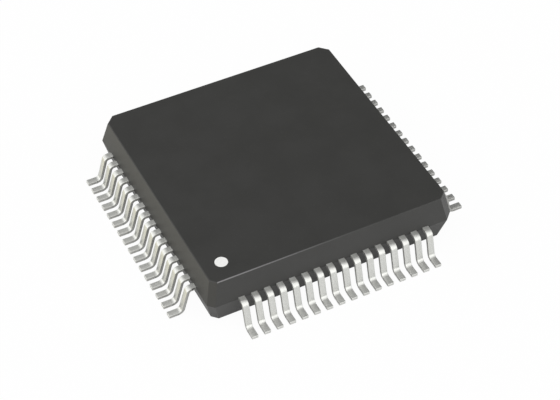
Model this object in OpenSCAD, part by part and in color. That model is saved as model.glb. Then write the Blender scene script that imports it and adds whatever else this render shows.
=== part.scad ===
// Quad flat pack chip: a moulded square body with gull-wing leads on its four sides,
// and inside it the leadframe's die pad, the die and its bond wires.
// Frame: Z = 0 is the seating plane under the feet, +Z is up, -Y is the side with pin 1,
// and the pins count counter-clockwise from above. Lengths are millimetres, angles degrees.

/* [Moulded body] */
// Side length of the body at the parting plane
body_w = 10; // [9.6:0.05:10.6]
// Height of the mould above the parting plane
upper_h = 1.0; // [0.6:0.005:1.3]
// Height of the mould below the parting plane
lower_h = 0.955; // [0.7:0.005:1.3]
// Gap between the seating plane and the underside of the body
standoff = 0.12; // [0.05:0.01:0.2]
// Draft of the upper flanks, from vertical
upper_draft_angle = 12.4; // [5:0.1:16]
// Draft of the lower flanks, from vertical
lower_draft_angle = 14; // [5:0.1:16]
// Leg of three of the corner chamfers, seen from above
corner_leg = 0.32; // [0.15:0.01:0.4]
// Leg of the smaller chamfer at the pin 1 corner, seen from above
pin_1_corner_leg = 0.22; // [0.15:0.01:0.4]
// Radius along the edges of the top and bottom faces
edge_r = 0.05; // [0.02:0.005:0.08]

/* [Ejector marks in the underside] */
// Diameter of a mark
eject_d = 1; // [0.6:0.1:1.6]
// Depth of a mark
eject_depth = 0.03; // [0.02:0.005:0.06]
// Distance from the body's side to the centre of a mark
eject_inset = 1.8; // [1.5:0.1:2.5]

/* [Pin 1 mark] */
// Diameter of the printed dot
mark_d = 0.48; // [0.3:0.02:0.8]
// Depth of the pocket that the ink fills
mark_t = 0.015; // [0.01:0.001:0.03]
// Distance from the body's left side to the centre of the dot
mark_inset_x = 0.98; // [0.8:0.02:1.5]
// Distance from the body's front side to the centre of the dot
mark_inset_y = 1.04; // [0.8:0.01:1.5]

/* [Leads] */
// Leads on each side
side_pins = 16; // [8:2:16]
// Distance between neighbouring leads
pitch = 0.5; // [0.42:0.01:0.54]
// Width of a lead
lead_w = 0.25; // [0.18:0.01:0.28]
// Thickness of the leadframe
lead_t = 0.127; // [0.1:0.001:0.16]
// Distance between the foot tips of opposite rows
lead_span = 12.17; // [12:0.01:12.6]
// Length of the flat part of a foot
foot_l = 0.365; // [0.3:0.005:0.45]
// Lean of the lead's middle part, from vertical
lead_lean_angle = 15.5; // [5:0.1:18]
// Inside radius of the bend at the shoulder
shoulder_r = 0.1; // [0.08:0.01:0.14]
// Inside radius of the bend above the foot
heel_r = 0.15; // [0.08:0.01:0.18]

/* [Inner fingers of the leads] */
// Length of the straight part just inside the mould
root_l = 0.6; // [0.4:0.05:0.9]
// Width of a finger at its tip
tip_w = 0.18; // [0.12:0.01:0.2]
// Gap between the finger tips and the edge of the die pad
tip_gap = 0.4; // [0.3:0.05:0.5]

/* [Die pad and tie bars] */
// Side length of the die pad
pad_w = 5; // [4.6:0.1:5.2]
// Depth of the die pad below the plane of the leads
pad_drop = 0.25; // [0.15:0.01:0.35]
// Width of a tie bar
tie_w = 0.2; // [0.14:0.01:0.24]
// Gap between a tie bar and the nearest finger tip
tie_gap = 0.19; // [0.15:0.01:0.25]
// Run of the step that lowers the pad, along the tie bar
step_run = 0.4; // [0.3:0.05:0.6]
// Cover of mould over the cut end of a tie bar
tie_cover = 0.1; // [0.05:0.01:0.3]

/* [Die] */
// Side length of the die
die_w = 3.5; // [3:0.1:4]
// Thickness of the die
die_t = 0.3; // [0.2:0.01:0.38]
// Thickness of the adhesive under the die
glue_t = 0.025; // [0.015:0.001:0.04]
// Width of adhesive that shows around the die
glue_rim = 0.06; // [0.03:0.01:0.15]

/* [Bond wires] */
// Thickness of a wire
wire_t = 0.025; // [0.018:0.001:0.03]
// Diameter of the ball where a wire starts on the die
ball_d = 0.06; // [0.045:0.001:0.08]
// Height of the ball
ball_h = 0.016; // [0.01:0.001:0.025]
// Distance from the die's edge to the row of balls
ball_inset = 0.1; // [0.06:0.01:0.15]
// Distance from the die's corner to the first ball of a row
ball_corner = 0.25; // [0.2:0.01:0.4]
// Height of a wire's loop above the die
loop_h = 0.15; // [0.1:0.01:0.25]
// Level run at the top of the loop
loop_run = 0.22; // [0.1:0.01:0.35]
// Length of the stitch that fixes a wire to its finger
stitch_l = 0.07; // [0.04:0.01:0.1]
// Distance from the finger's tip to the end of the stitch
stitch_in = 0.2; // [0.15:0.01:0.3]

/* [Hidden] */
side_count = 4;
pin_1_corner = 2;
pins = side_count * side_pins;
pins_per_lead_node = 2;
pins_per_wire_node = 4;
bend_steps = 8;
edge_steps = 4;
ball_sides = 8;

// Heights, from the seating plane up
z_part = standoff + lower_h;
z_top = z_part + upper_h;
z_lead_top = z_part + lead_t / 2;
z_pad_top = z_lead_top - pad_drop;
z_die = z_pad_top + glue_t;
z_die_top = z_die + die_t;

// The lead outside the mould: bend centres as [distance out of the parting line, height]
lead_reach = (lead_span - body_w) / 2;
heel_c = [lead_reach - foot_l, lead_t + heel_r];
bend_sum = shoulder_r + heel_r + lead_t;
lean_l = (z_part - lead_t / 2 - bend_sum * (1 - sin(lead_lean_angle))) / cos(lead_lean_angle);
shoulder_out = heel_c.x - bend_sum * cos(lead_lean_angle) - lean_l * sin(lead_lean_angle);
shoulder_c = [shoulder_out, z_part - lead_t / 2 - shoulder_r];

// The ring of finger tips, and the even spacing of tips and balls along a side
tip_ring = pad_w / 2 + tip_gap;
tip_row = 2 * (tip_ring - tie_w / sqrt(2) - tie_gap) - tip_w;
ball_row = die_w - 2 * ball_corner;
ball_ring = die_w / 2 - ball_inset;

// Node names: leads two by two and wires four by four, by the pins that they serve
function pin_name(p) = str(p < 10 ? "0" : "", p);
function span_name(word, first, count) =
    str(word, "_", pin_name(first), "_", pin_name(first + count - 1));
lead_firsts = [for (p = [1:pins_per_lead_node:pins]) p];
wire_firsts = [for (p = [1:pins_per_wire_node:pins]) p];

// Points of an arc around c, from angle a to angle b
function arc(c, r, a, b, steps) =
    [for (k = [0:steps]) let (t = a + (b - a) * k / steps) c + r * [cos(t), sin(t)]];

// A right half outline, closed with a left half that is given as its own mirror image
function closed_with(right, left) =
    concat(right, [for (k = [len(left) - 1:-1:0]) [-left[k].x, left[k].y]]);

// Half section of the body: half width at the parting plane, and the drafts above and below
function half_section(half_w, up, down) =
    let (
        top = half_w - upper_h * tan(up) - edge_r * tan(45 - up / 2),
        low = half_w - lower_h * tan(down) - edge_r * tan(45 - down / 2)
    )
    concat(
        arc([top, z_top - edge_r], edge_r, 90, up, edge_steps),
        [[half_w, z_part]],
        arc([low, standoff + edge_r], edge_r, -down, -90, edge_steps)
    );

// Draft of a corner chamfer that keeps the same leg at every height
function corner_draft(side_draft) = atan(sqrt(2) * tan(side_draft));

// Place of a pin in its row, as an offset from the row's middle in steps
function pin_side(p) = floor((p - 1) / side_pins);
function pin_step(p) = (p - 1) % side_pins - (side_pins - 1) / 2;

// Side view of the lead, from the knee of its finger inside the mould to the tip of its foot
function lead_outline() = concat(
    [[-root_l, z_lead_top]],
    arc(shoulder_c, shoulder_r + lead_t, 90, lead_lean_angle, bend_steps),
    arc(heel_c, heel_r, 180 + lead_lean_angle, 270, bend_steps),
    [[lead_reach, lead_t], [lead_reach, 0]],
    arc(heel_c, heel_r + lead_t, 270, 180 + lead_lean_angle, bend_steps),
    arc(shoulder_c, shoulder_r, lead_lean_angle, 90, bend_steps),
    [[-root_l, z_lead_top - lead_t]]
);

// Centre of a finger's tip, and the direction from there to where the finger straightens
function tip_at(p) = [pin_step(p) * tip_row / (side_pins - 1), -tip_ring];
function knee_at(p) = [pin_step(p) * pitch, root_l - body_w / 2];
function unit(v) = v / norm(v);
function finger_way(p) = unit(knee_at(p) - tip_at(p));

// Plan view of the finger from its knee to its tip
function finger_outline(p) =
    let (
        knee = knee_at(p),
        tip = tip_at(p),
        side = [lead_w / 2, 0],
        tip_side = [tip_w / 2, 0]
    )
    [knee - side, knee + side, tip + tip_side, tip - tip_side];

// Both ends of a wire in plan
function ball_at(p) = [pin_step(p) * ball_row / (side_pins - 1), -ball_ring];
function stitch_at(p) = tip_at(p) + stitch_in * finger_way(p);

// A band of even width along a path, with mitred corners
function left_of(v) = [-v.y, v.x];
function edge_way(path, k) = unit(path[k + 1] - path[k]);
function mitre(path, k) =
    let (
        last = len(path) - 1,
        a = left_of(edge_way(path, max(k - 1, 0))),
        b = left_of(edge_way(path, min(k, last - 1)))
    )
    (a + b) / (1 + a * b);
function band(path, w) = concat(
    [for (k = [0:len(path) - 1]) path[k] + mitre(path, k) * w / 2],
    [for (k = [len(path) - 1:-1:0]) path[k] - mitre(path, k) * w / 2]
);

// Side view of a wire that spans a run: up from the ball, level, down, and along the finger
function wire_path(run) = [
    [0, z_die_top + ball_h / 2],
    [0, z_die_top + loop_h],
    [loop_run, z_die_top + loop_h],
    [run - stitch_l, z_lead_top + wire_t / 2],
    [run, z_lead_top + wire_t / 2]
];

module on_side(p) {
    rotate([0, 0, pin_side(p) * 360 / side_count]) children();
}

module section_bar(turn, right, left) {
    rotate([90, 0, turn])
        linear_extrude(height = 2 * body_w, center = true) polygon(closed_with(right, left));
}

// Distance of a corner chamfer from the body's axis, at the parting plane
function corner_reach(leg) = (body_w - leg) / sqrt(2);

// Half section of the body across a corner chamfer
function corner_section(leg) = half_section(
    corner_reach(leg), corner_draft(upper_draft_angle), corner_draft(lower_draft_angle)
);

module body_blank() {
    flank = half_section(body_w / 2, upper_draft_angle, lower_draft_angle);
    corner = corner_section(corner_leg);
    intersection() {
        section_bar(0, flank, flank);
        section_bar(90, flank, flank);
        section_bar(45, corner, corner_section(pin_1_corner_leg));
        section_bar(135, corner, corner);
    }
}

module ejector_marks() {
    reach = body_w / 2 - eject_inset;
    for (x = [-reach, reach], y = [-reach, reach])
        translate([x, y, standoff - eject_depth])
            cylinder(h = 2 * eject_depth, d = eject_d, $fn = 48);
}

module lead(p) {
    on_side(p) {
        translate([0, 0, z_lead_top - lead_t])
            linear_extrude(height = lead_t) polygon(finger_outline(p));
        translate([pin_step(p) * pitch, -body_w / 2, 0])
            rotate([90, 0, -90])
                linear_extrude(height = lead_w, center = true) polygon(lead_outline());
    }
}

module leads(first, count) {
    color([0.8, 0.8, 0.78])
        for (p = [first:first + count - 1]) lead(p);
}

module wire(p) {
    start = ball_at(p);
    span = stitch_at(p) - start;
    on_side(p) translate([start.x, start.y, 0]) {
        rotate([90, 0, atan2(span.y, span.x)])
            linear_extrude(height = wire_t, center = true)
                polygon(band(wire_path(norm(span)), wire_t));
        translate([0, 0, z_die_top])
            cylinder(h = ball_h, d = ball_d, $fn = ball_sides);
    }
}

module bond_wires(first, count) {
    color([0.85, 0.65, 0.2])
        for (p = [first:first + count - 1]) wire(p);
}

module tie_bar(leg) {
    start = pad_w / 2 - tie_w;
    step = pad_w / sqrt(2) + tie_w;
    end = corner_reach(leg) - lead_t / 2 * tan(corner_draft(upper_draft_angle)) - tie_cover;
    top = [
        [start, z_pad_top],
        [step, z_pad_top],
        [step + step_run, z_lead_top],
        [end, z_lead_top]
    ];
    low = [for (k = [len(top) - 1:-1:0]) top[k] - [0, lead_t]];
    rotate([90, 0, 45])
        linear_extrude(height = tie_w, center = true) polygon(concat(top, low));
}

module die_pad() {
    color([0.78, 0.6, 0.45]) {
        translate([-pad_w / 2, -pad_w / 2, z_pad_top - lead_t])
            cube([pad_w, pad_w, lead_t]);
        for (k = [0:side_count - 1])
            rotate([0, 0, k * 360 / side_count])
                tie_bar(k == pin_1_corner ? pin_1_corner_leg : corner_leg);
    }
}

module plate(w, t, z) {
    translate([-w / 2, -w / 2, z]) cube([w, w, t]);
}

module die_adhesive() {
    color([0.7, 0.7, 0.72]) plate(die_w + 2 * glue_rim, glue_t, z_pad_top);
}

module die() {
    color([0.35, 0.38, 0.45]) plate(die_w, die_t, z_die);
}

module mould_body() {
    color([0.26, 0.26, 0.25])
        difference() {
            body_blank();
            ejector_marks();
            pin_1_mark();
            leads(1, pins);
            bond_wires(1, pins);
            die_pad();
            die_adhesive();
            die();
        }
}

module pin_1_mark() {
    color([0.97, 0.97, 0.96])
        translate([mark_inset_x - body_w / 2, mark_inset_y - body_w / 2, z_top - mark_t])
            cylinder(h = mark_t, d = mark_d, $fn = 64);
}

mould_body();
pin_1_mark();
die_pad();
die_adhesive();
die();
for (p = lead_firsts)
    leads(p, pins_per_lead_node);
for (p = wire_firsts)
    bond_wires(p, pins_per_wire_node);
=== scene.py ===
# %% [markdown]
# Quad flat pack chip: a square block of moulded epoxy with sixty-four formed leads.
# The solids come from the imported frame, so every piece already has its true place and
# size in metres. This lesson gives them rounded stamped edges, real finishes, a small
# studio and a camera, and draws the bond wires inside as round gold wire.

# %% Load the frame
import math
import bmesh
import bpy
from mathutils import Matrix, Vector


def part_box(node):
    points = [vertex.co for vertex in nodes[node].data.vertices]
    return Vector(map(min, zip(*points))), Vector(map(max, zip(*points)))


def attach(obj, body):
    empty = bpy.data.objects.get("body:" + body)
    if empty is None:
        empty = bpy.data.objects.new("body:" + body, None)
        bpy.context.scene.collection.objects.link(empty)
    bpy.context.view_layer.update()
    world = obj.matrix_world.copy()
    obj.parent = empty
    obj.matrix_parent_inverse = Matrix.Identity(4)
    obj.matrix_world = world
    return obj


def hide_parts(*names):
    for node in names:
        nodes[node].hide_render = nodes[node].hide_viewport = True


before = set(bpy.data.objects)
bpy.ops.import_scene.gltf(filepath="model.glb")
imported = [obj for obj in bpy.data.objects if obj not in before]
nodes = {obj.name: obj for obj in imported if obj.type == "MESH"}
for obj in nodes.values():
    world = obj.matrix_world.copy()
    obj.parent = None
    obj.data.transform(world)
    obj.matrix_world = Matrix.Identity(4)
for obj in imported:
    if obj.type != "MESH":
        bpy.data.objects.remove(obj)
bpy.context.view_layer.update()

MM = 0.001
scene = bpy.context.scene

# %% [markdown]
# Camera. The chip is only twelve millimetres wide, so a long lens stands a few
# centimetres away and looks down on it at about forty-five degrees. The near clipping
# distance has to be small in a scene of this size.

# %% Camera
EYE = Vector((-20.6053, -41.1461, 46.5439)) * MM
LOOK_AT = Vector((0.1338, -0.3548, 0.0)) * MM

lens = bpy.data.cameras.new("long_lens")
lens.lens = 110.0
lens.sensor_width = 36.0
lens.clip_start = 1 * MM
lens.clip_end = 1.0
camera = bpy.data.objects.new("camera", lens)
scene.collection.objects.link(camera)
camera.location = EYE
camera.rotation_mode = "QUATERNION"
camera.rotation_quaternion = (LOOK_AT - EYE).to_track_quat("-Z", "Y")
scene.camera = camera
print("camera distance mm:", round((LOOK_AT - EYE).length / MM, 2))

# %% [markdown]
# View settings. Standard shows colours as they are written, which is what a part that
# will be lit again somewhere else needs.

# %% View settings
scene.view_settings.view_transform = "Standard"

# %% [markdown]
# Node helpers. Every finish below is a small network of nodes. A few helpers keep the
# cells short: they add a node and join or set its inputs, do arithmetic, mix two values
# or two colours, ramp a value, and start a shader group with named inputs and outputs.

# %% Node helpers
def put(tree, kind, inputs=(), **settings):
    node = tree.nodes.new(kind)
    for key, value in settings.items():
        setattr(node, key, value)
    for key, value in dict(inputs).items():
        if isinstance(value, bpy.types.NodeSocket):
            tree.links.new(value, node.inputs[key])
        else:
            node.inputs[key].default_value = value
    return node


def calc(tree, operation, *values, clamp=False):
    node = put(tree, "ShaderNodeMath", dict(enumerate(values)), operation=operation)
    node.use_clamp = clamp
    return node.outputs[0]


def blend(tree, share, first, second):
    return put(tree, "ShaderNodeMix", {0: share, 6: first, 7: second}, data_type="RGBA").outputs[2]


def choose(tree, share, first, second):
    return put(tree, "ShaderNodeMix", {0: share, 2: first, 3: second}, data_type="FLOAT").outputs[0]


def ramp_between(tree, value, low, high, out_low=0.0, out_high=1.0):
    return put(tree, "ShaderNodeMapRange", {
        "Value": value, "From Min": low, "From Max": high,
        "To Min": out_low, "To Max": out_high,
    }, interpolation_type="SMOOTHSTEP").outputs["Result"]


def new_group(name, takes, gives):
    tree = bpy.data.node_groups.new(name, "ShaderNodeTree")
    for socket, kind, value in takes:
        made = tree.interface.new_socket(socket, in_out="INPUT", socket_type=kind)
        if value is not None:
            made.default_value = value
    for socket, kind in gives:
        tree.interface.new_socket(socket, in_out="OUTPUT", socket_type=kind)
    start = tree.nodes.new("NodeGroupInput")
    end = tree.nodes.new("NodeGroupOutput")
    return tree, start.outputs, end.inputs


FLOAT, VECTOR = "NodeSocketFloat", "NodeSocketVector"

# %% [markdown]
# World. A product studio is a white tent with one darker opening above and behind the
# chip on the right. Metal that faces the opening looks grey, and metal that turns away
# from it looks bright, which is what models the bends of the leads. The colour only
# depends on the direction in the room. A dark card low on the right keeps the bends of
# that side from flaring. Matt surfaces take a calmer light that grows with height.

# %% World
OPENING_WAY = Vector((0.47, 0.58, 0.665)).normalized()
TENT_STOPS = [(0.0, 1.76), (0.33, 1.60), (0.60, 1.26), (0.80, 0.76), (0.93, 0.22), (1.0, 0.03)]
CARD_WAY = Vector((0.80, 0.60, 0.0))
CARD_STARTS, CARD_ENDS, CARD_LEVEL = 0.42, 0.85, 0.12
MATT_LOW, MATT_RISE = 0.5, 1.3
PLAIN_WHITE = 1.0

world = bpy.data.worlds.new("studio_tent")
scene.world = world
world.use_nodes = True
wt = world.node_tree
wt.nodes.clear()
way = put(wt, "ShaderNodeTexCoord").outputs["Generated"]
facing = put(wt, "ShaderNodeVectorMath", {0: way, 1: OPENING_WAY}, operation="DOT_PRODUCT")
tent = put(wt, "ShaderNodeValToRGB", {"Fac": facing.outputs["Value"]})
while len(tent.color_ramp.elements) < len(TENT_STOPS):
    tent.color_ramp.elements.new(0.5)
for stop, (place, level) in zip(tent.color_ramp.elements, TENT_STOPS):
    stop.position = place
    stop.color = (level, level, level, 1)
to_card = put(wt, "ShaderNodeVectorMath", {0: way, 1: CARD_WAY}, operation="DOT_PRODUCT")
card = ramp_between(wt, to_card.outputs["Value"], CARD_STARTS, CARD_ENDS, 1.0, CARD_LEVEL)
in_room = put(wt, "ShaderNodeLightPath").outputs
for_shiny = calc(wt, "MULTIPLY", tent.outputs["Color"], card)
height = put(wt, "ShaderNodeSeparateXYZ", {0: way}).outputs["Z"]
matt_cap = calc(wt, "ADD", MATT_LOW, calc(wt, "MULTIPLY", height, MATT_RISE))
for_matt = calc(wt, "MINIMUM", for_shiny, matt_cap)
is_shiny = calc(wt, "MAXIMUM", in_room["Is Glossy Ray"], in_room["Is Transmission Ray"])
level = choose(wt, is_shiny, for_matt, for_shiny)
seen = choose(wt, in_room["Is Camera Ray"], level, PLAIN_WHITE)
glow = put(wt, "ShaderNodeBackground", {"Color": (1, 1, 1, 1), "Strength": seen})
put(wt, "ShaderNodeOutputWorld", {"Surface": glow.outputs[0]})
print("tent levels:", TENT_STOPS, "card level:", CARD_LEVEL)

# %% [markdown]
# Floor. A white sweep of paper. Eyes and shiny metal see it as plain white with a
# little of the chip's soft shadow, and under every other ray it is ordinary matt paper.
# Under the body, metal and mould see only the real shadow. The paper gets brighter for
# them in two steps, past the body's edge and past the feet, and is warmer on the left.

# %% Floor
FLOOR_R = 400 * MM
PAPER_FOR_EYES = 0.96
PAPER_BY_FEET, PAPER_FAR = 0.50, 0.40
BODY_STEP, FEET_STEP = (4.5 * MM, 5.0 * MM), (6.0 * MM, 6.8 * MM)
WARM_STEP = (-5.6 * MM, -7.5 * MM)
WARM_TINT = (1.12, 1.07, 0.84, 1)
PAPER_DROP = 0.002 * MM

floor_mesh = bpy.data.meshes.new("paper_floor")
bm = bmesh.new()
bmesh.ops.create_circle(bm, cap_ends=True, segments=96, radius=FLOOR_R)
bm.to_mesh(floor_mesh)
bm.free()
floor = bpy.data.objects.new("paper_floor", floor_mesh)
scene.collection.objects.link(floor)
floor.location.z = -PAPER_DROP

paper = bpy.data.materials.new("white_paper")
paper.use_nodes = True
pt = paper.node_tree
pt.nodes.clear()
ray = put(pt, "ShaderNodeLightPath").outputs
spot = put(pt, "ShaderNodeSeparateXYZ",
           {0: put(pt, "ShaderNodeTexCoord").outputs["Object"]}).outputs
from_middle = calc(pt, "MAXIMUM", calc(pt, "ABSOLUTE", spot["X"]), calc(pt, "ABSOLUTE", spot["Y"]))
for_metal = calc(pt, "ADD",
                 ramp_between(pt, from_middle, *BODY_STEP, 0.0, PAPER_BY_FEET),
                 ramp_between(pt, from_middle, *FEET_STEP, 0.0, PAPER_FAR))
shiny = calc(pt, "MAXIMUM", ray["Is Glossy Ray"], ray["Is Transmission Ray"])
plain_white = calc(pt, "MAXIMUM", calc(pt, "MULTIPLY", ray["Is Camera Ray"], PAPER_FOR_EYES),
                   calc(pt, "MULTIPLY", shiny, for_metal))
left_side = ramp_between(pt, spot["X"], *WARM_STEP)
warm_left = calc(pt, "MULTIPLY", left_side, shiny)
glow_tint = blend(pt, warm_left, (1, 1, 1, 1), WARM_TINT)
matt = put(pt, "ShaderNodeBsdfDiffuse", {"Color": (0.93, 0.93, 0.93, 1)})
white = put(pt, "ShaderNodeEmission", {"Color": glow_tint, "Strength": 1.0})
sheet = put(pt, "ShaderNodeMixShader", {0: plain_white, 1: matt.outputs[0], 2: white.outputs[0]})
put(pt, "ShaderNodeOutputMaterial", {"Surface": sheet.outputs[0]})
floor_mesh.materials.append(paper)
print("floor radius mm:", FLOOR_R / MM)

# %% [markdown]
# Shells. The solids arrive as flat facets. A small geometry tree joins the facets into
# one skin and marks only steep folds as sharp. On stamped metal a bevel modifier then
# rounds every long edge, and weighted normals keep the big faces flat and let the formed
# bends run smooth. The mesh of each solid itself is left as it was packed.

# %% Modifiers that smooth a solid
def skin_tree(name, sharp_deg):
    tree = bpy.data.node_groups.new(name, "GeometryNodeTree")
    for side in ("INPUT", "OUTPUT"):
        tree.interface.new_socket("Geometry", in_out=side, socket_type="NodeSocketGeometry")
    start = tree.nodes.new("NodeGroupInput").outputs[0]
    weld = put(tree, "GeometryNodeMergeByDistance", {"Geometry": start, "Distance": 0.0005 * MM})
    fold = put(tree, "GeometryNodeInputMeshEdgeAngle").outputs["Unsigned Angle"]
    steep = put(tree, "FunctionNodeCompare", {"A": fold, "B": math.radians(sharp_deg)},
                data_type="FLOAT", operation="GREATER_THAN")
    normals = put(tree, "GeometryNodeSetMeshNormal",
                  {"Mesh": weld.outputs[0], "Edge Sharpness": steep.outputs[0]}, mode="SHARPNESS")
    tree.links.new(normals.outputs[0], tree.nodes.new("NodeGroupOutput").inputs[0])
    return tree


NEVER_SHARP_DEG, MOULD_SHARP_DEG, BEVEL_FROM_DEG = 180, 24, 40
LEAD_EDGE_MM, PAD_EDGE_MM = 0.02, 0.01
STAMPED_SKIN = skin_tree("stamped_skin", NEVER_SHARP_DEG)
MOULDED_SKIN = skin_tree("moulded_skin", MOULD_SHARP_DEG)


def smoothed(obj, skin, edge_mm=0.0):
    obj.modifiers.new("one skin", "NODES").node_group = skin
    if edge_mm:
        edge = obj.modifiers.new("rounded edges", "BEVEL")
        edge.width = edge_mm * MM
        edge.segments = 3
        edge.limit_method = "ANGLE"
        edge.angle_limit = math.radians(BEVEL_FROM_DEG)
    flat = obj.modifiers.new("flat faces stay flat", "WEIGHTED_NORMAL")
    flat.keep_sharp = True
    flat.weight = 80


lead_nodes = sorted(n for n in nodes if n.startswith("leads_"))
wire_nodes = sorted(n for n in nodes if n.startswith("bond_wires_"))
for name in lead_nodes:
    smoothed(nodes[name], STAMPED_SKIN, LEAD_EDGE_MM)
smoothed(nodes["die_pad"], STAMPED_SKIN, PAD_EDGE_MM)
smoothed(nodes["mould_body"], MOULDED_SKIN)
smoothed(nodes["pin_1_mark"], MOULDED_SKIN)
print("smoothed leads:", len(lead_nodes), "nodes")

# %% [markdown]
# Grain. Sparked mould steel, plated tin and cured epoxy all show a fine irregular grain,
# each at its own size. One shader group makes it: a noise with a named grain size, given
# out both as a value and stretched to full contrast.

# %% Shader group: grain
def grain_group():
    tree, takes, gives = new_group(
        "grain",
        [("Place mm", VECTOR, None), ("Grain mm", FLOAT, 0.05), ("Layers", FLOAT, 2.0)],
        [("Value", FLOAT), ("Strong", FLOAT)])
    noise = put(tree, "ShaderNodeTexNoise", {
        "Vector": takes["Place mm"], "Scale": calc(tree, "DIVIDE", 1.0, takes["Grain mm"]),
        "Detail": takes["Layers"], "Roughness": 0.6})
    tree.links.new(noise.outputs["Fac"], gives["Value"])
    tree.links.new(ramp_between(tree, noise.outputs["Fac"], 0.35, 0.65), gives["Strong"])
    return tree


GRAIN = grain_group()


def use_group(tree, group, inputs):
    node = tree.nodes.new("ShaderNodeGroup")
    node.node_tree = group
    for key, value in inputs.items():
        if isinstance(value, bpy.types.NodeSocket):
            tree.links.new(value, node.inputs[key])
        else:
            node.inputs[key].default_value = value
    return node.outputs


# %% [markdown]
# Rolling streaks. Leadframe strip is rolled thin, so its faces carry fine lines along
# the strip, and the tin plating keeps them. The leads of two rows run along Y and those
# of the other two along X, so the group works out which way a lead runs from its place.

# %% Shader group: rolling streaks
def lead_runs(tree, spot):
    runs_y = calc(tree, "GREATER_THAN", calc(tree, "ABSOLUTE", spot["Y"]),
                  calc(tree, "ABSOLUTE", spot["X"]))
    return calc(tree, "SUBTRACT", 1.0, runs_y), runs_y


def streak_group():
    tree, takes, gives = new_group(
        "rolling_streaks",
        [("Place mm", VECTOR, None), ("Line mm", FLOAT, 0.012), ("Run mm", FLOAT, 0.5)],
        [("Value", FLOAT)])
    spot = put(tree, "ShaderNodeSeparateXYZ", {0: takes["Place mm"]}).outputs
    runs_x, runs_y = lead_runs(tree, spot)
    across = calc(tree, "ADD", calc(tree, "MULTIPLY", spot["X"], runs_y),
                  calc(tree, "MULTIPLY", spot["Y"], runs_x))
    along = calc(tree, "ADD", calc(tree, "MULTIPLY", spot["Y"], runs_y),
                 calc(tree, "MULTIPLY", spot["X"], runs_x))
    lines = put(tree, "ShaderNodeCombineXYZ", {
        "X": calc(tree, "DIVIDE", across, takes["Line mm"]),
        "Y": calc(tree, "DIVIDE", along, takes["Run mm"]),
        "Z": calc(tree, "DIVIDE", spot["Z"], takes["Run mm"])})
    noise = put(tree, "ShaderNodeTexNoise", {
        "Vector": lines.outputs[0], "Scale": 1.0, "Detail": 3.0, "Roughness": 0.7})
    tree.links.new(ramp_between(tree, noise.outputs["Fac"], 0.3, 0.7), gives["Value"])
    return tree


STREAKS = streak_group()

# %% [markdown]
# Cut sides. A punch shears the leads out of the strip. The sheared sides are rougher and
# duller than the rolled faces, and the plating is thin there. Their darker colour in the tin
# finish is also partly painted shade, for the shade that falls between neighbouring leads.
# The group marks them by the part of the normal that points across the lead.

# %% Shader group: cut sides
def cut_side_group():
    tree, takes, gives = new_group(
        "cut_sides", [("Place mm", VECTOR, None), ("Normal", VECTOR, None)], [("Mask", FLOAT)])
    spot = put(tree, "ShaderNodeSeparateXYZ", {0: takes["Place mm"]}).outputs
    faces = put(tree, "ShaderNodeSeparateXYZ", {0: takes["Normal"]}).outputs
    runs_x, runs_y = lead_runs(tree, spot)
    across = calc(tree, "ADD", calc(tree, "MULTIPLY", faces["X"], runs_y),
                  calc(tree, "MULTIPLY", faces["Y"], runs_x))
    tree.links.new(ramp_between(tree, calc(tree, "ABSOLUTE", across), 0.55, 0.9), gives["Mask"])
    return tree


CUT_SIDES = cut_side_group()

# %% [markdown]
# Specks. Mould compound is mostly silica powder in black epoxy, and a few grains show as
# paler points where the resin skin is thin. Silver adhesive shows its flakes in the same
# way. A cell pattern gives round points of a named size, and noise drops most of them.

# %% Shader group: specks
def speck_group():
    tree, takes, gives = new_group(
        "specks",
        [("Place mm", VECTOR, None), ("Spacing mm", FLOAT, 0.08), ("Share", FLOAT, 0.3)],
        [("Mask", FLOAT)])
    cells = put(tree, "ShaderNodeTexVoronoi", {
        "Vector": takes["Place mm"], "Scale": calc(tree, "DIVIDE", 1.0, takes["Spacing mm"])})
    dot = ramp_between(tree, cells.outputs["Distance"], 0.26, 0.12)
    pick = put(tree, "ShaderNodeSeparateColor", {0: cells.outputs["Color"]}).outputs[0]
    tree.links.new(calc(tree, "MULTIPLY", dot, calc(tree, "LESS_THAN", pick, takes["Share"])),
                   gives["Mask"])
    return tree


SPECKS = speck_group()

# %% [markdown]
# Rounded edges. The group finds the places where the surface turns between two faces: there
# the part of the normal along a chosen axis is neither almost nothing nor almost all. The
# mould uses it to place a painted highlight on its top edge.

# %% Shader group: turned edge
def turned_edge_group():
    tree, takes, gives = new_group(
        "turned_edge",
        [("Normal part", FLOAT, 0.0), ("Start", FLOAT, 0.3), ("End", FLOAT, 0.97)],
        [("Mask", FLOAT)])
    size = calc(tree, "ABSOLUTE", takes["Normal part"])
    rise = ramp_between(tree, size, takes["Start"], calc(tree, "ADD", takes["Start"], 0.12))
    fades = calc(tree, "SUBTRACT", takes["End"], 0.06)
    fall = ramp_between(tree, size, fades, takes["End"], 1.0, 0.0)
    tree.links.new(calc(tree, "MULTIPLY", rise, fall), gives["Mask"])
    return tree


TURNED_EDGE = turned_edge_group()

# %% [markdown]
# A finish starts the same way each time: one principled shader, the place of a point in
# millimetres and its normal. Fine relief is a bump with its height named in millimetres.

# %% Start of a finish
def new_finish(name, **plain_values):
    made = bpy.data.materials.new(name)
    made.use_nodes = True
    tree = made.node_tree
    tree.nodes.clear()
    body = put(tree, "ShaderNodeBsdfPrincipled", plain_values_to_sockets(plain_values))
    put(tree, "ShaderNodeOutputMaterial", {"Surface": body.outputs[0]})
    coord = put(tree, "ShaderNodeTexCoord").outputs
    place = put(tree, "ShaderNodeVectorMath", {
        0: coord["Object"], "Scale": 1 / MM}, operation="SCALE")
    return made, tree, body.inputs, place.outputs[0], coord["Normal"]


def plain_values_to_sockets(values):
    return {key.replace("_", " ").title().replace("Ior", "IOR"): value
            for key, value in values.items()}


def raised(tree, height, height_mm, strength=1.0):
    return put(tree, "ShaderNodeBump", {
        "Height": height, "Distance": height_mm * MM, "Strength": strength}).outputs[0]
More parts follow.
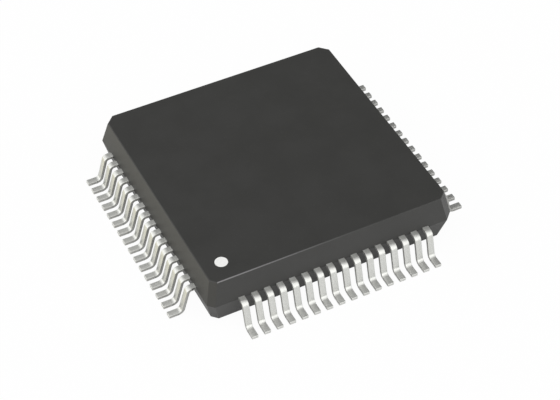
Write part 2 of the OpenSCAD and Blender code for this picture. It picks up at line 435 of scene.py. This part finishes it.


# %% [markdown]
# Mould compound. Dark grey epoxy with silica filler, moulded against sparked steel. It
# is almost even in colour, with slow clouds of tone, a fine grain and a few pale specks.
# Its front top edge carries a painted highlight, a paler line that is strongest near pin 1 and
# fades along the edge.

# %% Finish: mould compound
BODY_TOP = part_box("mould_body")[1].z / MM
MOULD_DARK, MOULD_PALE = (0.0415, 0.0415, 0.0395, 1), (0.0465, 0.0465, 0.0445, 1)
SILICA_GREY, PAINTED_HIGHLIGHT_GREY = (0.16, 0.16, 0.15, 1), (0.36, 0.35, 0.36, 1)
SPECK_SHARE, PAINTED_HIGHLIGHT_SHARE = 0.10, 0.55


def mould_compound():
    made, tree, face, place, normal = new_finish("mould_compound", specular_ior_level=0.31)
    clouds = use_group(tree, GRAIN, {"Place mm": place, "Grain mm": 1.6, "Layers": 3.0})["Value"]
    fine = use_group(tree, GRAIN, {"Place mm": place, "Grain mm": 0.035, "Layers": 2.0})["Value"]
    specks = use_group(tree, SPECKS, {"Place mm": place, "Spacing mm": 0.09, "Share": 0.25})["Mask"]
    spot = put(tree, "ShaderNodeSeparateXYZ", {0: place}).outputs
    facing = put(tree, "ShaderNodeSeparateXYZ", {0: normal}).outputs

    tone = ramp_between(tree, clouds, 0.3, 0.7)
    colour = blend(tree, tone, MOULD_DARK, MOULD_PALE)
    colour = blend(tree, calc(tree, "MULTIPLY", specks, SPECK_SHARE), colour, SILICA_GREY)
    # Painted highlight: a paler grey along the rounded front top edge, strongest near pin 1,
    # standing in for the studio light's reflection.
    edge = use_group(tree, TURNED_EDGE, {
        "Normal part": facing["Z"], "Start": 0.30, "End": 0.985})["Mask"]
    upper = ramp_between(tree, spot["Z"], BODY_TOP - 0.16, BODY_TOP - 0.06)
    front_only = ramp_between(tree, calc(tree, "ABSOLUTE", facing["X"]), 0.2, 0.05)
    highlight_fade = calc(tree, "MULTIPLY", ramp_between(tree, spot["X"], 1.4, -5.6),
                   calc(tree, "MULTIPLY", front_only, ramp_between(tree, spot["Y"], -4.4, -4.65)))
    painted_highlight = calc(tree, "MULTIPLY", calc(tree, "MULTIPLY", edge, upper),
                calc(tree, "MULTIPLY", highlight_fade, PAINTED_HIGHLIGHT_SHARE))
    colour = blend(tree, painted_highlight, colour, PAINTED_HIGHLIGHT_GREY)
    tree.links.new(colour, face["Base Color"])
    tree.links.new(ramp_between(tree, fine, 0.3, 0.7, 0.40, 0.50), face["Roughness"])
    tree.links.new(raised(tree, fine, 0.0012), face["Normal"])
    return made


# %% [markdown]
# Marking ink. A dot of white ink lies by pin 1, in a shallow pocket of the mould. It is
# matt and very slightly uneven in tone and in thickness.

# %% Finish: marking ink
def mark_ink():
    made, tree, face, place, _ = new_finish("mark_ink", roughness=0.6)
    fine = use_group(tree, GRAIN, {"Place mm": place, "Grain mm": 0.04, "Layers": 3.0})
    colour = blend(tree, fine["Strong"], (0.89, 0.89, 0.875, 1), (0.95, 0.95, 0.935, 1))
    tree.links.new(colour, face["Base Color"])
    tree.links.new(raised(tree, fine["Value"], 0.002), face["Normal"])
    return made


# %% [markdown]
# Tin plate. The leads are copper alloy strip under matt tin. Fine rolling lines follow
# the lead, and the grain of the plating breaks them up. The level parts are pressed
# duller than the bends, and the cut sides are duller and darker still; that darker colour
# is partly thin plating and partly painted shade between neighbouring leads.

# %% Finish: tin plate
TIN_DARK, TIN_PALE = (0.55, 0.555, 0.53, 1), (0.69, 0.695, 0.67, 1)
TIN_CLOUD = (0.56, 0.555, 0.52, 1)
CUT_SHADE_DARK, CUT_SHADE_PALE = (0.36, 0.36, 0.345, 1), (0.46, 0.46, 0.445, 1)
ROUGHER_FLAT, ROUGHER_CUT = 0.24, 0.35


def tin_plate():
    made, tree, face, place, normal = new_finish("tin_plate", metallic=0.85)
    lines = use_group(tree, STREAKS, {"Place mm": place, "Line mm": 0.02, "Run mm": 0.35})["Value"]
    crystal = use_group(tree, GRAIN, {"Place mm": place, "Grain mm": 0.03, "Layers": 2.0})["Strong"]
    clouds = use_group(tree, GRAIN, {"Place mm": place, "Grain mm": 0.4, "Layers": 2.0})["Strong"]
    mottle = calc(tree, "ADD", calc(tree, "MULTIPLY", lines, 0.6),
                  calc(tree, "MULTIPLY", crystal, 0.4))
    colour = blend(tree, mottle, TIN_DARK, TIN_PALE)
    colour = blend(tree, calc(tree, "MULTIPLY", clouds, 0.15), colour, TIN_CLOUD)
    cut = use_group(tree, CUT_SIDES, {"Place mm": place, "Normal": normal})["Mask"]
    # Cut sides get a darker colour: partly thin plating on the sheared metal, partly painted shade
    # for the shade that falls between neighbouring leads.
    colour = blend(tree, cut, colour, blend(tree, crystal, CUT_SHADE_DARK, CUT_SHADE_PALE))
    tree.links.new(colour, face["Base Color"])
    up = put(tree, "ShaderNodeSeparateXYZ", {0: normal}).outputs["Z"]
    flat = ramp_between(tree, calc(tree, "ABSOLUTE", up), 0.86, 0.98)
    duller = calc(tree, "ADD", calc(tree, "MULTIPLY", flat, ROUGHER_FLAT),
                  calc(tree, "MULTIPLY", cut, ROUGHER_CUT))
    rough = calc(tree, "ADD", ramp_between(tree, mottle, 0.1, 0.9, 0.32, 0.24), duller)
    tree.links.new(rough, face["Roughness"])
    tree.links.new(raised(tree, mottle, 0.0015), face["Normal"])
    return made


# %% [markdown]
# Inner metals. The die pad is bare copper alloy from the same rolled strip as the leads,
# dull where it has oxidised. Bond wire is pure gold, drawn smooth, so it only varies
# slowly along its length.

# %% Finishes: bare copper strip and gold wire
def leadframe_copper():
    made, tree, face, place, _ = new_finish("leadframe_copper", metallic=1.0)
    lines = use_group(tree, STREAKS, {"Place mm": place, "Line mm": 0.03, "Run mm": 1.2})["Value"]
    stains = use_group(tree, GRAIN, {"Place mm": place, "Grain mm": 0.6, "Layers": 4.0})["Strong"]
    colour = blend(tree, lines, (0.66, 0.36, 0.22, 1), (0.80, 0.47, 0.30, 1))
    colour = blend(tree, calc(tree, "MULTIPLY", stains, 0.35), colour, (0.42, 0.22, 0.15, 1))
    tree.links.new(colour, face["Base Color"])
    tree.links.new(ramp_between(tree, stains, 0.0, 1.0, 0.28, 0.46), face["Roughness"])
    tree.links.new(raised(tree, lines, 0.001), face["Normal"])
    return made


def gold_wire():
    made, tree, face, place, _ = new_finish("gold_wire", metallic=1.0)
    drift = use_group(tree, GRAIN, {"Place mm": place, "Grain mm": 0.12, "Layers": 2.0})
    colour = blend(tree, drift["Strong"], (0.80, 0.54, 0.16, 1), (0.88, 0.63, 0.22, 1))
    tree.links.new(colour, face["Base Color"])
    tree.links.new(ramp_between(tree, drift["Value"], 0.3, 0.7, 0.14, 0.24), face["Roughness"])
    tree.links.new(raised(tree, drift["Value"], 0.0004), face["Normal"])
    return made


# %% [markdown]
# Silver adhesive. The die sits on a thin bed of epoxy full of silver flakes. Cured, it
# is a soft grey with a dull sparkle and a slightly wavy skin.

# %% Finish: silver adhesive
def silver_adhesive():
    made, tree, face, place, _ = new_finish("silver_adhesive", roughness=0.5)
    flakes = use_group(tree, SPECKS, {"Place mm": place, "Spacing mm": 0.02, "Share": 0.6})["Mask"]
    waves = use_group(tree, GRAIN, {"Place mm": place, "Grain mm": 0.1, "Layers": 3.0})["Value"]
    colour = blend(tree, flakes, (0.40, 0.40, 0.41, 1), (0.75, 0.75, 0.76, 1))
    tree.links.new(colour, face["Base Color"])
    tree.links.new(ramp_between(tree, flakes, 0.0, 1.0, 0.1, 0.8), face["Metallic"])
    tree.links.new(raised(tree, waves, 0.006), face["Normal"])
    return made


# %% [markdown]
# Silicon. The top of a die is a glassy stack of thin films over blocks of circuit. The
# blocks differ in tint because their wiring differs in density. A row of aluminium pads
# follows each side, where the balls of the bond wires sit. The sawn sides are plain grey.

# %% Finish: silicon
SIDE_PINS = 16
BALL_ROW, BALL_RING, PAD_HALF = 3.0, 1.65, 0.042


def silicon():
    made, tree, face, place, normal = new_finish("silicon", roughness=0.18, ior=1.9)
    top = ramp_between(tree, put(tree, "ShaderNodeSeparateXYZ", {0: normal}).outputs["Z"], 0.5, 0.9)
    blocks = put(tree, "ShaderNodeTexBrick", {
        "Vector": place, "Color1": (0.10, 0.11, 0.20, 1), "Color2": (0.13, 0.22, 0.19, 1),
        "Mortar": (0.05, 0.05, 0.07, 1), "Scale": 1.0, "Mortar Size": 0.012,
        "Brick Width": 0.62, "Row Height": 0.41}, offset=0.37)
    wiring = put(tree, "ShaderNodeTexBrick", {
        "Vector": place, "Color1": (0.30, 0.30, 0.34, 1), "Color2": (0.62, 0.62, 0.66, 1),
        "Mortar": (0.45, 0.45, 0.50, 1), "Scale": 1.0, "Mortar Size": 0.003,
        "Brick Width": 0.05, "Row Height": 0.011})
    circuit = blend(tree, 0.35, blocks.outputs["Color"], wiring.outputs["Color"])
    pads = pad_mask(tree, place)
    film = blend(tree, pads, circuit, (0.78, 0.78, 0.80, 1))
    sawn = use_group(tree, GRAIN, {"Place mm": place, "Grain mm": 0.02, "Layers": 3.0})["Strong"]
    side = blend(tree, sawn, (0.20, 0.21, 0.23, 1), (0.32, 0.33, 0.35, 1))
    tree.links.new(blend(tree, top, side, film), face["Base Color"])
    tree.links.new(calc(tree, "MULTIPLY", pads, top), face["Metallic"])
    tree.links.new(raised(tree, wiring.outputs["Fac"], 0.001), face["Normal"])
    return made


def pad_mask(tree, place):
    spot = put(tree, "ShaderNodeSeparateXYZ", {0: place}).outputs
    x, y = calc(tree, "ABSOLUTE", spot["X"]), calc(tree, "ABSOLUTE", spot["Y"])
    outer, inner = calc(tree, "MAXIMUM", x, y), calc(tree, "MINIMUM", x, y)
    from_row = calc(tree, "ABSOLUTE", calc(tree, "SUBTRACT", outer, BALL_RING))
    in_row = calc(tree, "LESS_THAN", from_row, PAD_HALF)
    step = BALL_ROW / (SIDE_PINS - 1)
    along = calc(tree, "SUBTRACT", calc(tree, "MODULO", inner, step), step / 2)
    off = calc(tree, "ABSOLUTE", along)
    on_step = calc(tree, "LESS_THAN", off, PAD_HALF)
    in_span = calc(tree, "LESS_THAN", inner, BALL_ROW / 2 + PAD_HALF)
    return calc(tree, "MULTIPLY", calc(tree, "MULTIPLY", in_row, on_step), in_span)


# %% [markdown]
# Bond wires. A capillary melts the end of a gold wire into a ball, presses it on a pad,
# rises, loops over to the lead finger and stitches the wire down flat. The packed
# solids have square sections, so here each wire is swept again with a round section
# along the same route, with the corners of the loop drawn as curves, and its ball is
# turned on a small profile.

# %% Route of the wires in millimetres
LEAD_PITCH = 0.5
WIRE_D, BALL_D, BALL_H = 0.025, 0.06, 0.016
DIE_TOP, FINGER_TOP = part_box("die")[1].z / MM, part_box(lead_nodes[0])[1].z / MM
TIP_RING, TIP_ROW, KNEE_RING = 2.9, 4.9372, 4.4
LOOP_H, LOOP_RUN, STITCH_L, STITCH_IN = 0.15, 0.22, 0.07, 0.2
LOOP_CUTS, CURVE_STEPS = (0.06, 0.12, 0.05), 6


def wire_ends(pin):
    step = (pin - 1) % SIDE_PINS - (SIDE_PINS - 1) / 2
    turn = (pin - 1) // SIDE_PINS * math.pi / 2
    ball = Vector((step * BALL_ROW / (SIDE_PINS - 1), -BALL_RING))
    tip = Vector((step * TIP_ROW / (SIDE_PINS - 1), -TIP_RING))
    knee = Vector((step * LEAD_PITCH, -KNEE_RING))
    stitch = tip + (knee - tip).normalized() * STITCH_IN
    return ball, stitch, turn


def wire_route(run):
    loop = DIE_TOP + LOOP_H
    rest = FINGER_TOP + WIRE_D / 2
    corners = [(0, DIE_TOP + BALL_H), (0, loop), (LOOP_RUN, loop),
               (run - STITCH_L, rest), (run, rest)]
    route = [Vector(corners[0])]
    for k, cut in enumerate(LOOP_CUTS, start=1):
        here = Vector(corners[k])
        a = here + (Vector(corners[k - 1]) - here).normalized() * cut
        b = here + (Vector(corners[k + 1]) - here).normalized() * cut
        for t in range(CURVE_STEPS + 1):
            s = t / CURVE_STEPS
            route.append(a * (1 - s) ** 2 + here * 2 * s * (1 - s) + b * s ** 2)
    route.append(Vector(corners[-1]))
    return route


print("loop height mm:", LOOP_H, "first route:", len(wire_route(1.4)), "points")


# %% [markdown]
# Sweep. A ring of points is set square to the route at each step and joined to the next.
# The last ring is pressed flat, as the stitch is, and the ball is a stack of rings.

# %% Sweep a round wire and turn its ball
ROUND = 10
PRESSED = 0.45
BALL_PROFILE = [(0.42, 0.0), (0.49, 0.2), (0.5, 0.5), (0.47, 0.8), (0.34, 1.0), (0.22, 1.3)]


def ring(bm, centre, side, up, half_wide, half_high, turned):
    made = []
    for k in range(ROUND):
        a = 2 * math.pi * k / ROUND
        spot = centre + side * (math.cos(a) * half_wide) + up * (math.sin(a) * half_high)
        made.append(bm.verts.new(turned(spot)))
    return made


def join_rings(bm, rings):
    for low, high in zip(rings, rings[1:]):
        for k in range(ROUND):
            n = (k + 1) % ROUND
            bm.faces.new((low[k], low[n], high[n], high[k]))
    bm.faces.new(rings[0][::-1])
    bm.faces.new(rings[-1])


def add_wire(bm, pin):
    ball, stitch, turn = wire_ends(pin)
    flat = stitch - ball
    way = Vector((flat.x, flat.y, 0)).normalized()
    side = Vector((-way.y, way.x, 0))
    cos_t, sin_t = math.cos(turn), math.sin(turn)

    def turned(p):
        return Vector((p.x * cos_t - p.y * sin_t, p.x * sin_t + p.y * cos_t, p.z)) * MM

    route = wire_route(flat.length)
    rings = []
    for k, (along, high) in enumerate(route):
        before, after = route[max(k - 1, 0)], route[min(k + 1, len(route) - 1)]
        slope = (after - before).normalized()
        up = way * -slope.y + Vector((0, 0, slope.x))
        centre = Vector((ball.x, ball.y, 0)) + way * along + Vector((0, 0, high))
        pressed = PRESSED if k == len(route) - 1 else 1.0
        if pressed < 1:
            centre.z -= WIRE_D / 2 * (1 - pressed)
        half_wide, half_high = WIRE_D / 2 / pressed ** 0.5, WIRE_D / 2 * pressed
        rings.append(ring(bm, centre, side, up, half_wide, half_high, turned))
    join_rings(bm, rings)

    foot = Vector((ball.x, ball.y, DIE_TOP))
    east, north = Vector((1, 0, 0)), Vector((0, 1, 0))
    join_rings(bm, [
        ring(bm, foot + Vector((0, 0, h * BALL_H)), east, north, r * BALL_D, r * BALL_D, turned)
        for r, h in BALL_PROFILE])


# %% [markdown]
# Wires in place. Four round wires make one piece, which stands in for the node with the
# same four square wires and keeps its finish slot.

# %% Build the wires in place of their square solids
gold = gold_wire()
for name in wire_nodes:
    first, last = (int(word) for word in name.split("_")[-2:])
    bm = bmesh.new()
    for pin in range(first, last + 1):
        add_wire(bm, pin)
    for f in bm.faces:
        f.smooth = len(f.verts) == 4
    mesh = bpy.data.meshes.new("round_" + name)
    bm.to_mesh(mesh)
    bm.free()
    mesh.materials.append(gold)
    piece = bpy.data.objects.new("round_" + name, mesh)
    scene.collection.objects.link(piece)
    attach(piece, "root")
    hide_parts(name)
print("wire pieces:", len(wire_nodes), "faces in each:", len(mesh.polygons))


# %% [markdown]
# Finishes on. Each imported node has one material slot, which now takes its finish. The
# leads share one tin finish and all wires share one gold.

# %% Give the nodes their finishes
def finish_node(name, made):
    nodes[name].material_slots[0].material = made


finish_node("mould_body", mould_compound())
finish_node("pin_1_mark", mark_ink())
finish_node("die_pad", leadframe_copper())
finish_node("die_adhesive", silver_adhesive())
finish_node("die", silicon())
tin = tin_plate()
for name in lead_nodes:
    finish_node(name, tin)
for name in wire_nodes:
    finish_node(name, gold)
print("finishes:", [m.name for m in bpy.data.materials if m.use_nodes])
